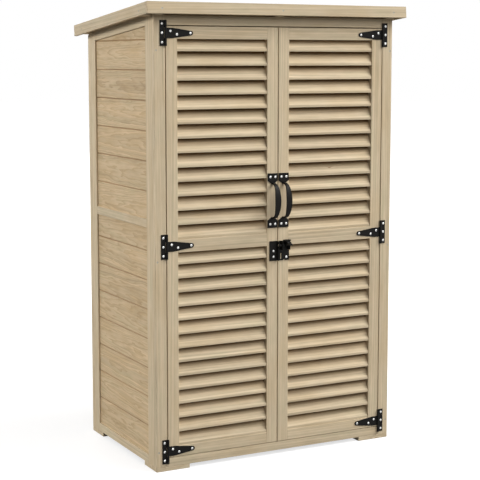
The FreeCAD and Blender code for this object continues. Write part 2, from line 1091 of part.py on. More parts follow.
def bow_blank(inset, reach, x0, x1):
    """The solid under a bow of straight legs, round corners and a crown, standing on the door's face."""
    rise = handle_projection - inset
    radius = handle_corner_radius - inset
    half = reach - inset
    corner_z = half - radius
    drop = rise - handle_leg_height
    crown_radius = (corner_z ** 2 + drop ** 2 - radius ** 2) / (2 * (drop - radius))
    crown_base = rise - crown_radius
    slope = math.atan2(corner_z, handle_leg_height - crown_base)
    middle = (math.pi / 2 + slope) / 2

    def at(side, out, up):
        return Vector(x0, front - out, handle_z + side * up)

    def on_corner(side, angle):
        out = handle_leg_height + radius * math.cos(angle)
        return at(side, out, corner_z + radius * math.sin(angle))

    crest = at(1, rise, 0)
    edges = [
        Part.makeLine(at(-1, 0, half), at(-1, handle_leg_height, half)),
        Part.Arc(at(-1, handle_leg_height, half), on_corner(-1, middle), on_corner(-1, slope)).toShape(),
        Part.Arc(on_corner(-1, slope), crest, on_corner(1, slope)).toShape(),
        Part.Arc(on_corner(1, slope), on_corner(1, middle), at(1, handle_leg_height, half)).toShape(),
        Part.makeLine(at(1, handle_leg_height, half), at(1, 0, half)),
        Part.makeLine(at(1, 0, half), at(-1, 0, half)),
    ]
    return Part.Face(Part.Wire(edges)).extrude(Vector(x1 - x0, 0, 0))


def grip_blank(reach):
    """The outline of the grip seen from the front: necks at the ends, widest at its middle."""
    wide = handle_grip_width / 2
    neck = handle_neck_width / 2
    y = front - handle_projection - 1.0
    corners = [
        Vector(handle_x - neck, y, handle_z - reach),
        Vector(handle_x - neck, y, handle_z + reach),
        Vector(handle_x + neck, y, handle_z + reach),
        Vector(handle_x + neck, y, handle_z - reach),
    ]
    edges = [
        Part.Arc(corners[0], Vector(handle_x - wide, y, handle_z), corners[1]).toShape(),
        Part.makeLine(corners[1], corners[2]),
        Part.Arc(corners[2], Vector(handle_x + wide, y, handle_z), corners[3]).toShape(),
        Part.makeLine(corners[3], corners[0]),
    ]
    return Part.Face(Part.Wire(edges)).extrude(Vector(0, handle_projection + 1.0, 0))


def handle_grip():
    """A bowed band from neck to neck that is widest and furthest out at its middle."""
    reach = handle_length / 2 - handle_plate_length - handle_plate_taper + handle_neck_overlap
    wide = handle_grip_width / 2
    outer = bow_blank(0, reach, handle_x - wide, handle_x + wide)
    inner = bow_blank(handle_grip_thickness, reach, handle_x - wide - 1, handle_x + wide + 1)
    return outer.cut(inner).common(grip_blank(reach + end_clearance))


def door_handle():
    handle = fused(handle_plate_half(-1), handle_plate_half(1), handle_grip())
    return [cut_by(handle, plate_holes(handle_screw_places()))]


# Slide-bolt latch: a keeper on the left door, a case and its bolt on the right one

def latch_plate_at(x0, x1):
    return box(x0, x1, front - latch_plate, front, latch_low, latch_top)


def bolt_rod(x0, x1, slack=0.0):
    """A rod on the bolt's axis, from x0 to x1."""
    return rod(bolt_radius + slack, (x0, front - bolt_forward, bolt_z), (1, 0, 0), x1 - x0)


def latch_keeper():
    """A plate with a flange along the crack, whose eye takes the bolt."""
    x1 = door_free_edge - keeper_edge
    x0 = x1 - keeper_width
    flange_x = x1 - latch_plate
    flange = box(flange_x, x1, front - keeper_flange_depth, front, latch_low, latch_top)
    lobe = bolt_rod(flange_x, x1, bolt_eye_clearance + keeper_eye_wall)
    eye = bolt_rod(flange_x - 1, x1 + 1, bolt_eye_clearance)
    keeper = fused(latch_plate_at(x0, x1), flange, lobe)
    return [cut_by(keeper, [eye] + plate_holes(keeper_screw_places()))]


def case_span():
    x0 = -door_free_edge + case_edge
    return x0, x0 + case_width


def cheek_spans():
    """The near and the far cheek of the case, each from its left to its right face."""
    x0, x1 = case_span()
    near = x0 + cheek_inset
    far = x1 - cheek_inset
    return (near, near + latch_plate), (far - latch_plate, far)


def latch_case():
    """A plate with a slot and a notch, and two cheeks that carry the bolt."""
    x0, x1 = case_span()
    back_y = front + 1
    depth = latch_plate + 2
    notch_z = latch_low - case_notch_drop
    notch = rod(case_notch_radius, ((x0 + x1) / 2, back_y, notch_z), (0, -1, 0), depth)
    slot_x = x0 + case_slot_inset
    slot_z = latch_low + case_slot_rise
    slot = box(
        slot_x,
        slot_x + case_slot_width,
        back_y - depth,
        back_y,
        slot_z,
        slot_z + case_slot_height,
    )
    low = latch_top - cheek_height
    cheeks = [box(left, right, front - cheek_depth, front, low, latch_top) for left, right in cheek_spans()]
    case = fused(latch_plate_at(x0, x1), *cheeks)
    bores = [bolt_rod(x0, x1, joint_clearance)]
    return [cut_by(case, [notch, slot] + bores + plate_holes(case_screw_places()))]


def tab_face(x):
    """The thumb tab's side: it rises from the bolt and leans forward to a round tip."""
    turn = math.radians(tab_tip_angle)
    tip_middle = tab_reach - tab_tip_radius
    tip_forward = tip_middle + tab_tip_radius * math.cos(turn)
    tip_half = tab_tip_radius * math.sin(turn)
    outline = [
        (-tab_back, -bolt_radius),
        (-tab_back, tab_rise),
        (tab_crown, tab_rise),
        (tip_forward, tab_tip_rise + tip_half),
        (tab_reach, tab_tip_rise),
        (tip_forward, tab_tip_rise - tip_half),
        (tab_back, -bolt_radius),
    ]
    points = [Vector(x, front - bolt_forward - forward, bolt_z + up) for forward, up in outline]
    edges = [
        Part.makeLine(points[0], points[1]),
        Part.makeLine(points[1], points[2]),
        Part.makeLine(points[2], points[3]),
        Part.Arc(points[3], points[4], points[5]).toShape(),
        Part.makeLine(points[5], points[6]),
        Part.makeLine(points[6], points[0]),
    ]
    return Part.Face(Part.Wire(edges))


def latch_bolt():
    """The sliding bolt, drawn back until its tab meets the far cheek and the crack is free."""
    near, far = cheek_spans()
    nose_x = door_free_edge - keeper_edge + bolt_nose_gap
    tail_x = far[1] + bolt_throw + end_clearance
    tab_x = near[1] + end_clearance + bolt_throw
    tab_width = far[0] - end_clearance - tab_x
    tab = tab_face(tab_x).extrude(Vector(tab_width, 0, 0))
    head_back = front - bolt_forward + tab_back
    head = box(
        tab_x - tab_head_spread,
        tab_x + tab_width + tab_head_spread,
        head_back - tab_head_depth,
        head_back,
        bolt_z + tab_rise,
        bolt_z + tab_rise + tab_head_height,
    )
    return [fused(bolt_rod(nose_x, tail_x), tab, head)]


def door_screws(latch_places):
    places = strap_screw_places() + handle_screw_places() + latch_places
    return [pan_screw(place, (0, 1, 0)) for place in places]


# Every sub-part under its name

def build_parts():
    parts = {
        "foot_blocks": foot_blocks(),
        "front_sill": front_sill(),
        "floor_rails": floor_rails(),
        "floor_boards": floor_boards(),
        "back_stiles": back_stiles(),
        "back_rails": back_rails(),
        "back_boards": back_boards(),
        "lintel": lintel(),
        "door_stop": door_stop(),
        "shelf_battens": shelf_battens(),
        "rafters": rafters(),
        "purlins": purlins(),
        "roof_boards": roof_boards(),
        "roof_felt": roof_felt(),
        "front_fascia": front_fascia(),
        "rear_fascia": rear_fascia(),
        "frame_screws": frame_screws(),
        "hinge_leaves": hinge_leaves(),
        "hinge_pins": hinge_pins(),
        "leaf_screws": leaf_screws(),
        "latch_keeper": latch_keeper(),
        "latch_case": latch_case(),
        "latch_bolt": latch_bolt(),
    }
    for name, shelf_z in zip(("lower_shelf", "middle_shelf", "upper_shelf"), shelf_heights):
        parts[name] = shelf(shelf_z)
    both_sides = {
        "front_stile": side_front_stile(),
        "back_stile": side_back_stile(),
        "top_rail": side_top_rail(),
        "side_rails": side_rails(),
        "side_boards": side_boards(),
        "post": front_post(),
        "fascia": side_fascia(),
        "hinge_stile": hinge_stile(),
        "meeting_stile": meeting_stile(),
        "door_bottom_rail": door_rail(0),
        "door_middle_rail": door_rail(1),
        "door_top_rail": door_rail(2),
        "lower_slats": door_slats(lower_opening),
        "upper_slats": door_slats(upper_opening),
        "hinge_straps": hinge_straps(),
        "handle": door_handle(),
    }
    for name, shapes in both_sides.items():
        parts["left_" + name] = shapes
        parts["right_" + name] = mirrored(shapes)
    parts["left_door_screws"] = door_screws(keeper_screw_places())
    parts["right_door_screws"] = mirrored(door_screws(mirrored_places(case_screw_places())))
    return parts


def save(name, shapes):
    solids = [solid for shape in shapes for solid in shape.Solids]
    shape = solids[0] if len(solids) == 1 else Part.makeCompound(solids)
    shape.exportStep("parts/" + name + ".step")
    return solids


os.makedirs("parts", exist_ok=True)
built = build_parts()
total = 0
for part_name in sorted(built):
    saved = save(part_name, built[part_name])
    total += len(saved)
    wrong = [solid for solid in saved if not solid.isValid() or solid.Volume <= 0]
    print(part_name, len(saved), "solids", "invalid" if wrong else "valid")
print(len(built), "sub-parts,", total, "solids")
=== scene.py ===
# %% [markdown]
# This is a garden tool cabinet of treated softwood. It has two louvred doors on black T-hinges, a
# slide-bolt latch and a roof that falls to the back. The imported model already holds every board,
# hinge and screw at its real size and place. What this file adds is how they look: sanded edges,
# wood figure, powder coat, zinc and roofing felt. All lengths are in metres. X runs to the right
# along the front, Y runs to the back and Z is up.

import json
import math
import random

import bmesh
import bpy
from mathutils import Matrix, Vector


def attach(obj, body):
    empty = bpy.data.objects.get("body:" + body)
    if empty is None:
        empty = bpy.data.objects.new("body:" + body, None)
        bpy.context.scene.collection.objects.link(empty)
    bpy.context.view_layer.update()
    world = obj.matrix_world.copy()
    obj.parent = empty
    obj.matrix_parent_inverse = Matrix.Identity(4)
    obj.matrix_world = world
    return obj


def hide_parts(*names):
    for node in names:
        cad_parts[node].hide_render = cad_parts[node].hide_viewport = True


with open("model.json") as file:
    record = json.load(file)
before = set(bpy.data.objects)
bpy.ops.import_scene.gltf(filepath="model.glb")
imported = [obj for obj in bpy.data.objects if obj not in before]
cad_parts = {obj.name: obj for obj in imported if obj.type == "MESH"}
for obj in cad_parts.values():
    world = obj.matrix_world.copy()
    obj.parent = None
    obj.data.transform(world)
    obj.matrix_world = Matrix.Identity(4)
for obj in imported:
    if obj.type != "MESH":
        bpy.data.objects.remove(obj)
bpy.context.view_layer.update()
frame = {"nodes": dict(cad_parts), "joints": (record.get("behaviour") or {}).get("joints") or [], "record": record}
in_mm = 1000.0

# %% [markdown]
# The view comes from the left and from about five metres away, through a long lens. A camera held
# level would need a large shift to frame the cabinet, and other views keep that shift. So the
# camera is tipped down a little instead, and the small shift that is left keeps the upright edges
# nearly parallel.

# %% Camera
camera_place = (-2.2562, -4.3302, 1.409)
camera_turn = math.radians(-27.61)
camera_tip = math.radians(6.755)

camera_data = bpy.data.cameras.new("camera")
camera_data.lens = 98.87
camera_data.sensor_width = 36.0
camera_data.shift_y = -0.05
camera = bpy.data.objects.new("camera", camera_data)
camera.location = camera_place
camera.rotation_euler = (math.pi / 2 - camera_tip, 0.0, camera_turn)
bpy.context.scene.collection.objects.link(camera)
bpy.context.scene.camera = camera
print("the lens is", round(camera_data.lens, 1), "mm")

# %% [markdown]
# Shader maths reads best as plain formulas. This class wraps one socket of a material, so that
# an expression such as `1 - mask` adds the Math nodes it stands for. Any other node comes from
# its `node` method, which takes the values or links of its sockets and the node's settings.

# %% A socket that can be added and multiplied
class Flow:
    def __init__(self, tree, socket=None):
        self.tree = tree
        self.socket = socket

    def node(self, kind, sockets, output=0, **settings):
        """Add a node: its settings are set first, then a value or a Flow on each named socket."""
        made = self.tree.nodes.new("ShaderNode" + kind)
        for name, setting in settings.items():
            setattr(made, name, setting)
        for name, value in sockets.items():
            if isinstance(value, Flow):
                self.tree.links.new(value.socket, made.inputs[name])
            else:
                made.inputs[name].default_value = value
        return Flow(self.tree, made.outputs[output])

    def math(self, operation, *values):
        return self.node("Math", dict(enumerate(values)), operation=operation)

    def __add__(self, other):
        return self.math("ADD", self, other)

    def __sub__(self, other):
        return self.math("SUBTRACT", self, other)

    def __rsub__(self, other):
        return self.math("SUBTRACT", other, self)

    def __mul__(self, other):
        return self.math("MULTIPLY", self, other)

    def __truediv__(self, other):
        return self.math("DIVIDE", self, other)

    def __rtruediv__(self, other):
        return self.math("DIVIDE", other, self)

    def __pow__(self, other):
        return self.math("POWER", self, other)

    def __rpow__(self, other):
        return self.math("POWER", other, self)

    __radd__ = __add__
    __rmul__ = __mul__


print("a Flow turns + - * / and ** into Math nodes")

# %% [markdown]
# Some nodes are needed by several materials. These functions give them short names, and their
# arguments say what the numbers on the sockets mean. Colours and vectors go through Mix and Vector
# Math nodes, because a Math node would turn them grey.

# %% Short names for common nodes
# A Mix node has sockets for each kind of value. These are the ones for colours.
first_color_input = 6
second_color_input = 7
color_output = 2


def object_place(flow):
    """Where a point of the surface lies, in metres."""
    return flow.node("TexCoord", {}, output="Object")


def part(vector, axis):
    """The X, Y or Z part of a vector."""
    return vector.node("SeparateXYZ", {0: vector}, output=axis)


def length(vector):
    """How long a vector is."""
    return vector.node("VectorMath", {0: vector}, output="Value", operation="LENGTH")


def scaled(vector, factors):
    """A vector or colour whose three parts are multiplied by three factors."""
    return vector.node("VectorMath", {0: vector, 1: factors}, operation="MULTIPLY")


def grey(value):
    """A colour whose three parts all have this value."""
    return value.node("CombineColor", {0: value, 1: value, 2: value})


def step(value, low, high):
    """0 below low, 1 above high and a smooth rise between them."""
    sockets = {"Value": value, "From Min": low, "From Max": high}
    return value.node("MapRange", sockets, interpolation_type="SMOOTHSTEP")


def noise(place, lengthwise, crosswise, detail=2.0, roughness=0.5):
    """Noise from 0 to 1 that changes so often in a metre along X, and so often across it."""
    stretched = scaled(place, (lengthwise, crosswise, crosswise))
    sockets = {"Vector": stretched, "Scale": 1.0, "Detail": detail, "Roughness": roughness}
    return place.node("TexNoise", sockets)


def blend(mask, first, second, blend_type="MIX"):
    """The first colour where the mask is 0, and the second, or their product, where it is 1."""
    sockets = {0: mask, first_color_input: first, second_color_input: second}
    return mask.node("Mix", sockets, color_output, data_type="RGBA", blend_type=blend_type)


print("seven kinds of node have short names")

# %% [markdown]
# A material starts with what is the same all over, which belongs on the shader's own sockets. What
# varies over the surface is linked at the end, when its formula is complete.

# %% A new material
def new_material(name, **constants):
    """A material, its shader with constants on its own sockets, and a Flow in its node tree."""
    material = bpy.data.materials.new(name)
    material.use_nodes = True
    shader = material.node_tree.nodes["Principled BSDF"]
    for socket, value in constants.items():
        shader.inputs[socket.replace("_", " ")].default_value = value
    return material, shader, Flow(material.node_tree)


def feed(shader, **flows):
    """Link what varies over the surface to the shader's sockets."""
    for socket, flow in flows.items():
        flow.tree.links.new(flow.socket, shader.inputs[socket.replace("_", " ")])


print("every material is one Principled shader")

# %% [markdown]
# A product photograph of this kind has a white background and hardly any shadow. A white sky that
# shines from all sides would light the gaps between the louvres too, so the sky is white only
# where it is seen, and almost dark as a light. The Light Path node tells the two apart. What a
# mirror or glass shows counts as seen, so bright metal reflects a white room.

# %% Sky
sky_light = 0.02


def seen_directly(flow):
    """1 for rays from the camera, or by way of a mirror or glass, and 0 for scattered light."""
    total = flow.node("LightPath", {}, output="Is Camera Ray")
    for kind in ("Is Glossy Ray", "Is Transmission Ray"):
        total = total.math("MAXIMUM", total, flow.node("LightPath", {}, output=kind))
    return total


world = bpy.data.worlds.new("sky")
world.use_nodes = True
bpy.context.scene.world = world
background = world.node_tree.nodes["Background"]
background.inputs["Color"].default_value = (1.0, 1.0, 1.0, 1.0)
sky_seen = seen_directly(Flow(world.node_tree))
sky_strength = sky_seen * (1.0 - sky_light) + sky_light
world.node_tree.links.new(sky_strength.socket, background.inputs["Strength"])
print("the sky lights with", sky_light, "of what it shows")

# %% [markdown]
# The floor is a plain disc. Where it is seen, it is pale and a little lit from within, and more so
# farther out: it meets the white sky without an edge but keeps the shadow of the cabinet. The light
# that it scatters comes from a darker floor, so that only a little comes up from below: the eaves
# get their share, and the gaps under the louvres stay dark.

# %% Floor
floor_radius = 40.0
floor_corners = 64
shade_as_seen = 0.35
shade_for_light = 0.15
glow_near = 0.70
glow_far = 1.0
glow_rises_from = 0.8
glow_rises_to = 4.0

floor_material, floor_shader, flow = new_material(
    "studio_floor",
    Roughness=0.9,
    Specular_IOR_Level=0.0,
    Emission_Strength=1.0,
)
floor_seen = seen_directly(flow)
distance = length(object_place(flow))
rise = step(distance, glow_rises_from, glow_rises_to)
floor_shade = floor_seen * (shade_as_seen - shade_for_light) + shade_for_light
glow = floor_seen * (rise * (glow_far - glow_near) + glow_near)
feed(floor_shader, Base_Color=grey(floor_shade), Emission_Color=grey(glow))

disc = bmesh.new()
bmesh.ops.create_circle(disc, cap_ends=True, segments=floor_corners, radius=floor_radius)
floor_data = bpy.data.meshes.new("studio_floor")
disc.to_mesh(floor_data)
disc.free()
floor_data.materials.append(floor_material)
floor = bpy.data.objects.new("studio_floor", floor_data)
bpy.context.scene.collection.objects.link(floor)
print("floor of", 2 * floor_radius, "m")

# %% [markdown]
# Louvres show best in light that comes from above: each slat then shades the one below it, and
# the shade fades out softly towards the lip. Light from too high would put the wall under the
# eaves in the dark, so most of it comes from soft boxes at 20 to 45 degrees above the horizon. They
# hang on all sides, which shows every side of the cabinet well. A lamp is placed by how far round
# it stands, from the front to the left, and by how high.

# %% Lamps
cabinet_middle = Vector((0.0, 0.0, 0.8))
lamp_distance = 14.0


def soft_box(name, round_degrees, high_degrees, width, depth, power):
    """A rectangular lamp that looks at the middle of the cabinet."""
    data = bpy.data.lights.new(name, "AREA")
    data.shape = "RECTANGLE"
    data.size = width
    data.size_y = depth
    data.energy = power
    light = bpy.data.objects.new(name, data)
    turn = Matrix.Rotation(math.radians(-round_degrees), 3, "Z")
    tip = Matrix.Rotation(math.radians(-high_degrees), 3, "X")
    away = turn @ tip @ Vector((0.0, -lamp_distance, 0.0))
    light.location = cabinet_middle + away
    light.rotation_euler = (-away).to_track_quat("-Z", "Y").to_euler()
    bpy.context.scene.collection.objects.link(light)
    print(name, "at", [round(value, 1) for value in light.location])


soft_box("front_box", round_degrees=-8.0, high_degrees=32.0, width=12.0, depth=7.5, power=1030.0)
soft_box("left_box", round_degrees=100.0, high_degrees=20.0, width=8.0, depth=4.0, power=1390.0)
soft_box("right_box", round_degrees=-60.0, high_degrees=45.0, width=8.0, depth=7.0, power=2480.0)
soft_box("back_box", round_degrees=178.0, high_degrees=20.0, width=10.0, depth=4.0, power=1600.0)
bpy.context.scene.view_settings.view_transform = "Standard"

# %% [markdown]
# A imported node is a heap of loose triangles, and boards that touch share their corners. Merging
# them all at once would weld such boards together. So the triangles are first sorted into solids:
# they come in order, and a solid is complete when every edge has met its twin from the neighbouring
# triangle. Then each solid is merged by itself, and the triangles of a flat face become one face
# again, which a bevel can follow.

# %% Solids of a node
merge_distance = 0.000005
micron_digits = 6
flat_angle = math.radians(0.5)


def shells(faces):
    """Lists of faces, one for each closed solid."""
    groups = []
    group = []
    unmet = set()
    for face in faces:
        corners = [tuple(round(value, micron_digits) for value in vert.co) for vert in face.verts]
        for start, end in zip(corners, corners[1:] + corners[:1]):
            if (end, start) in unmet:
                unmet.remove((end, start))
            else:
                unmet.add((start, end))
        group.append(face)
        if not unmet:
            groups.append(group)
            group = []
    if group:
        groups.append(group)
    return groups


def once(items):
    """The items in their first order and without repeats, which a set would give in any order."""
    return list(dict.fromkeys(items))


def merged_solids(node):
    """A bmesh of a node in which each solid is one closed skin of whole flat faces."""
    mesh = bmesh.new()
    mesh.from_mesh(frame["nodes"][node].data)
    for group in shells(list(mesh.faces)):
        corners = once(vert for face in group for vert in face.verts)
        bmesh.ops.remove_doubles(mesh, verts=corners, dist=merge_distance)
    bmesh.ops.dissolve_limit(mesh, angle_limit=flat_angle, verts=mesh.verts, edges=mesh.edges)
    return mesh


test = merged_solids("roof_boards")
print("roof boards have", len(test.faces), "flat faces")
test.free()

# %% [markdown]
# Many pieces hold several boards, screws or plates. Each of them is an island: vertices that edges
# join. The islands are sorted by place, so that chance treats the same board alike in every run.

# %% Islands of a mesh
order_digits = 4


def limits_of(verts, turn=Matrix.Identity(3)):
    """The lowest and the highest corner of the box round some vertices, after a turn."""
    places = [turn @ vert.co for vert in verts]
    low = Vector([min(place[axis] for place in places) for axis in range(3)])
    high = Vector([max(place[axis] for place in places) for axis in range(3)])
    return low, high


def low_corner(island):
    """The lowest corner of an island, rounded so that noise in the digits can't change an order."""
    return [round(value, order_digits) for value in limits_of(island)[0]]


def islands(mesh):
    """The connected pieces of a bmesh as lists of vertices, ordered by their place."""
    seen = set()
    found = []
    for first in mesh.verts:
        if first in seen:
            continue
        seen.add(first)
        waiting = [first]
        island = []
        while waiting:
            vert = waiting.pop()
            island.append(vert)
            for edge in vert.link_edges:
                other = edge.other_vert(vert)
                if other not in seen:
                    seen.add(other)
                    waiting.append(other)
        found.append(island)
    return sorted(found, key=low_corner)


test = merged_solids("roof_boards")
print("the roof has", len(islands(test)), "boards")
test.free()

# %% [markdown]
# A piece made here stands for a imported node, moves with the same body and has one material. Only
# the nails of the felt have no node. Metal is shaded smooth. Plain smooth shading would bend the
# light over a whole flat plate, so the normals are weighted by the area of the faces: flats stay
# flat and only the rounded rims turn.

# %% A finished piece
record = frame["record"]
body_of = {node: body for body, nodes in record["behaviour"]["bodies"].items() for node in nodes}
slot_of = {part["node"]: part["material_slot"] for part in record["subparts"]}
nodes_of = {slot: sorted(n for n in slot_of if slot_of[n] == slot) for slot in set(slot_of.values())}


def finished(mesh, name, material, body, smooth_angle=None):
    """Turn a bmesh into an object that moves with a body; below the angle its edges are smooth."""
    data = bpy.data.meshes.new(name)
    mesh.to_mesh(data)
    mesh.free()
    data.materials.clear()
    data.materials.append(material)
    if smooth_angle is not None:
        data.shade_smooth()
        data.set_sharp_from_angle(angle=smooth_angle)
    piece = bpy.data.objects.new(name, data)
    if smooth_angle is not None:
        weighted = piece.modifiers.new("weighted_normals", "WEIGHTED_NORMAL")
        weighted.keep_sharp = True
    bpy.context.scene.collection.objects.link(piece)
    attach(piece, body)
    return piece


def stand_in(mesh, node, ending, material, smooth_angle=None):
    """A finished piece that is shown instead of a node."""
    piece = finished(mesh, node + ending, material, body_of[node], smooth_angle)
    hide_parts(node)


print({slot: len(nodes_of[slot]) for slot in sorted(nodes_of)})

# %% [markdown]
# Softwood is a stack of cones: each year adds a layer that ends in a dark line of latewood. A
# board is cut out of them, and its faces show straight lines, waves or arches, by how far from
# the heart of the tree it was cut. An image of wood would repeat, so the figure is worked out in
# that space instead. Each board carries `grain`, its place in the trunk: how far along, and how far
# from the heart in two directions. The attribute `board` holds a board's own shade, its warmth and
# whether it has knots. A third one, `sheltered`, marks where shade is painted into the wood.

# %% A board's place in its tree
wood, wood_shader, flow = new_material("treated_fir", Specular_IOR_Level=0.1)
grain = flow.node("Attribute", {}, output="Vector", attribute_name="grain")
board = flow.node("Attribute", {}, output="Vector", attribute_name="board")
# Where this attribute is 1, shade is painted into the wood.
sheltered = flow.node("Attribute", {}, output="Fac", attribute_name="sheltered")
along, across, deep = [part(grain, axis) for axis in "XYZ"]
board_shade, board_warmth, board_knots = [part(board, axis) for axis in "XYZ"]
from_heart = length(scaled(grain, (0.0, 1.0, 1.0)))
print("wood reads three attributes of a board")

# %% [markdown]
# A knot is the root of a branch that grew straight out of the heart. Dark spots could be placed
# on each board, but here they are placed in the tree: a Voronoi texture scatters points over the
# length of the trunk and the direction from the heart, and each point is a branch. Where a board
# has no knots, all points are moved too far away to show.

# %% Knots
knot_spacing = 0.62
knot_size = 0.008
knots_per_radian = 1.6
knot_scatter = 0.9
knot_core = 0.5
knot_reach = 4.0

branch_direction = flow.math("ARCTAN2", deep, across)
trunk_skin = {"X": along / knot_spacing, "Y": branch_direction * knots_per_radian}
branch_place = flow.node("CombineXYZ", trunk_skin)
branch_cell = {"Vector": branch_place, "Scale": 1.0, "Randomness": knot_scatter}
branch_gap = flow.node("TexVoronoi", branch_cell, voronoi_dimensions="2D") * knot_spacing
knot_gap = branch_gap + (1.0 - board_knots)
knot = 1.0 - step(knot_gap, knot_size * knot_core, knot_size)
knot_pull = 1.0 - step(knot_gap, 0.0, knot_size * knot_reach)
print("knots of", knot_size * in_mm, "mm, about", knot_spacing, "m apart")

# %% [markdown]
# The rings follow from the distance to the heart. A trunk tapers, is never quite round and swells
# round a knot, so all this is added to the distance before it is divided into years. Boards from
# near the bark, which have the warmth of 1, ripple more. Latewood darkens through the year and ends
# in a sharp line.

# %% Rings
ring_pitch = 0.0039
ring_taper = 0.014
ring_wander = 0.012
ring_ripple = 0.0022
bark_ripple = 0.010
knot_swell = 0.005
latewood_power = 2.2
latewood_ends = 0.9

wander = (noise(grain, lengthwise=1.6, crosswise=11.0, detail=3.0) - 0.5) * ring_wander
board_ripple = board_warmth * bark_ripple + ring_ripple
ripple = (noise(grain, lengthwise=8.0, crosswise=52.0) - 0.5) * board_ripple
ring = (from_heart + along * ring_taper + wander + ripple + knot_pull * knot_swell) / ring_pitch
ring_part = flow.math("FRACT", ring)
latewood = ring_part ** latewood_power * (1.0 - step(ring_part, latewood_ends, 1.0))
print("a year adds", ring_pitch * in_mm, "mm")

# %% [markdown]
# Treated fir is a greenish straw colour that is never even: clouds of it are tan or olive, and the
# latewood is brown. Each colour is one blend over the last. Wall boards are multiplied by a warm
# tint, because wood from near the bark takes up the most of the salts.

# %% Wood colours
pale_color = (0.598, 0.492, 0.341, 1.0)
tan_color = (0.562, 0.449, 0.294, 1.0)
olive_color = (0.550, 0.468, 0.315, 1.0)
late_color = (0.395, 0.285, 0.155, 1.0)
warm_tint = (0.925, 0.865, 0.790, 1.0)

cloud = noise(grain, lengthwise=5.0, crosswise=18.0)
tan_patches = step(cloud, 0.40, 0.72)
olive_patches = step(1.0 - cloud, 0.50, 0.72) * 0.8
late_strength = board_warmth * 0.26 + 0.46
base = blend(tan_patches, pale_color, tan_color)
base = blend(olive_patches, base, olive_color)
base = blend(latewood * late_strength, base, late_color)
base = blend(board_warmth, base, warm_tint, "MULTIPLY")
print("so far, wood has", len(wood.node_tree.nodes), "nodes")

# %% [markdown]
# Over the colours lies light and shade: fine fibres, long streaks, a shade for each year, because
# no two are alike, small stains, and a shade for each board. Fibres, streaks and stains are long
# in the direction of the tree and narrow across it. All is added up to one factor that the colour
# is multiplied by.

# %% Light and shade in the wood
plain_shade = 0.37
fibre_share = 0.10
streak_share = 0.50
year_share = 0.42
stain_share = 0.26
board_share = 0.09
warmth_share = 0.03
year_pace = 0.55

fibre = noise(grain, lengthwise=5.0, crosswise=700.0, roughness=0.6)
streak = noise(grain, lengthwise=1.3, crosswise=150.0, detail=3.0, roughness=0.7)
year_sockets = {"W": ring * year_pace, "Scale": 1.0, "Detail": 2.0}
year = flow.node("TexNoise", year_sockets, noise_dimensions="1D")
stain = noise(grain, lengthwise=14.0, crosswise=60.0, detail=3.0, roughness=0.6)
board_tone = board_warmth * warmth_share + (board_shade - 0.5) * board_share
figure = plain_shade + fibre * fibre_share + streak * streak_share + year * year_share
shade = figure + stain * stain_share + board_tone
base = scaled(base, grey(shade))
average_shade = plain_shade + (fibre_share + streak_share + year_share + stain_share) / 2
print("on average the colour is multiplied by", round(average_shade, 2))

# %% [markdown]
# Last come the knots and the painted shade. Where shade is painted, the wood is multiplied by a deep
# brown, and a power keeps the brown to the darkest end of a slope. The latewood is harder than the
# rest, so planing leaves it a little proud and smoother, which the bump and the roughness show.

# %% Finish of the wood
knot_color = (0.235, 0.130, 0.062, 1.0)
knot_strength = 0.75
# The brown of the painted shade in the V joints and on the slats.
painted_shade_tint = (0.34, 0.17, 0.0, 1.0)
painted_shade_power = 1.9

base = blend(knot * knot_strength, base, knot_color)
# Painted shade: the V joints and the deep part of each slat are multiplied by brown.
base = blend(sheltered ** painted_shade_power, base, painted_shade_tint, "MULTIPLY")
relief = latewood * 0.4 + fibre * 0.6
wood_bump = flow.node("Bump", {"Height": relief, "Strength": 0.35, "Distance": 0.0004})
wood_roughness = 0.60 + fibre * 0.18 - latewood * 0.08
feed(wood_shader, Base_Color=base, Roughness=wood_roughness, Normal=wood_bump)
print("wood has", len(wood.node_tree.nodes), "nodes")

# %% [markdown]
# Planed timber never has a knife edge: sandpaper takes it off. A bevel modifier could choose edges
# only by their angle, and would open the joints. Here both faces beside an edge must lie on the
# outside of their solid, so that mortises and the housings of the slats stay crisp. A bevel of a
# millimetre with two segments then catches the light.

# %% Edges to sand
sharp_angle = math.radians(17.0)
outside_slack = 0.00002


def outside(face, verts):
    """True if no vertex of the solid lies in front of the face."""
    origin = face.verts[0].co
    return all((vert.co - origin).dot(face.normal) < outside_slack for vert in verts)


def outer_edges(mesh):
    """The sharp edges of each solid whose two faces both lie on its outside."""
    chosen = []
    for island in islands(mesh):
        faces = once(face for vert in island for face in vert.link_faces)
        outer = {face for face in faces if outside(face, island)}
        for edge in once(edge for face in faces for edge in face.edges):
            is_outer = all(face in outer for face in edge.link_faces)
            if is_outer and edge.calc_face_angle(0.0) > sharp_angle:
                chosen.append(edge)
    return chosen


def ease(mesh, edges, width):
    """Round edges over by a width."""
    bmesh.ops.bevel(
        mesh,
        geom=edges,
        offset=width,
        affect="EDGES",
        segments=2,
        profile=0.5,
        material=-1,
        clamp_overlap=False,
    )


test = merged_solids("left_post")
print("the left post has", len(outer_edges(test)), "of", len(test.edges), "edges to sand")
test.free()

# %% [markdown]
# Each board is cut from its own place in a tree, which is drawn at random. A wide board is sawn
# flat: its face lies across the rings and shows arches. A stick or slat is cut far to the side of
# the heart, where the rings stand upright in it and show as straight lines. The longest side of a
# board always runs along the tree. A board of the roof is turned level before it is measured.

# %% The grain of each board
tree_length = 40.0
flat_sawn_depth = (0.05, 0.13)
flat_sawn_offset = (-0.03, 0.03)
upright_depth = (0.004, 0.03)
upright_offset = (0.09, 0.2)
knotty_share = 0.35


